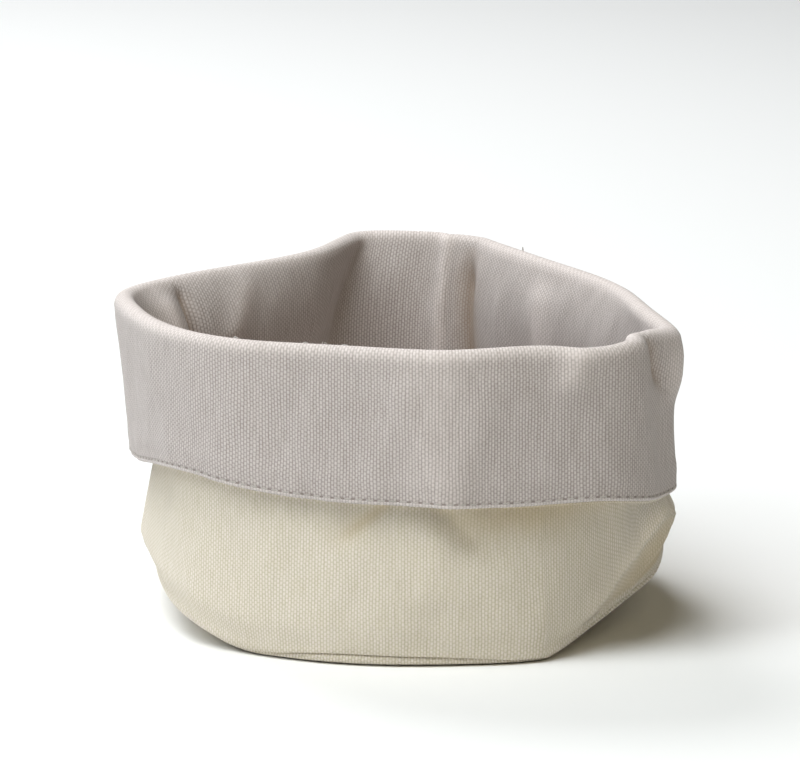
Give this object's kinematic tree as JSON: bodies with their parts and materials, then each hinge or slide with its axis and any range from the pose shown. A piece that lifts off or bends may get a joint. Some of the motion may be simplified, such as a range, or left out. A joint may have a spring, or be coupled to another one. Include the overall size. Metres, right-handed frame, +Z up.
{
  "type": "linen bread bag",
  "caption": "Round fabric bread bag standing open, its contrasting lining folded down over the outside as a deep cuff.",
  "frame": {"origin": "middle of the bag's bounding box, at the floor it stands on", "axes": "+Z up, towards the open mouth; -Y towards the bag's front, as pictured; +X to the right of someone facing the front"},
  "size_m": [0.231, 0.2521, 0.133],
  "materials": {
    "cream_canvas": "matt plain-weave canvas",
    "sand_canvas": "matt plain-weave canvas"
  },
  "bodies": {
    "root": {"outer_wall": "cream_canvas", "outer_base": "cream_canvas", "lining_wall": "sand_canvas", "lining_base": "sand_canvas"}
  },
  "joints": []
}
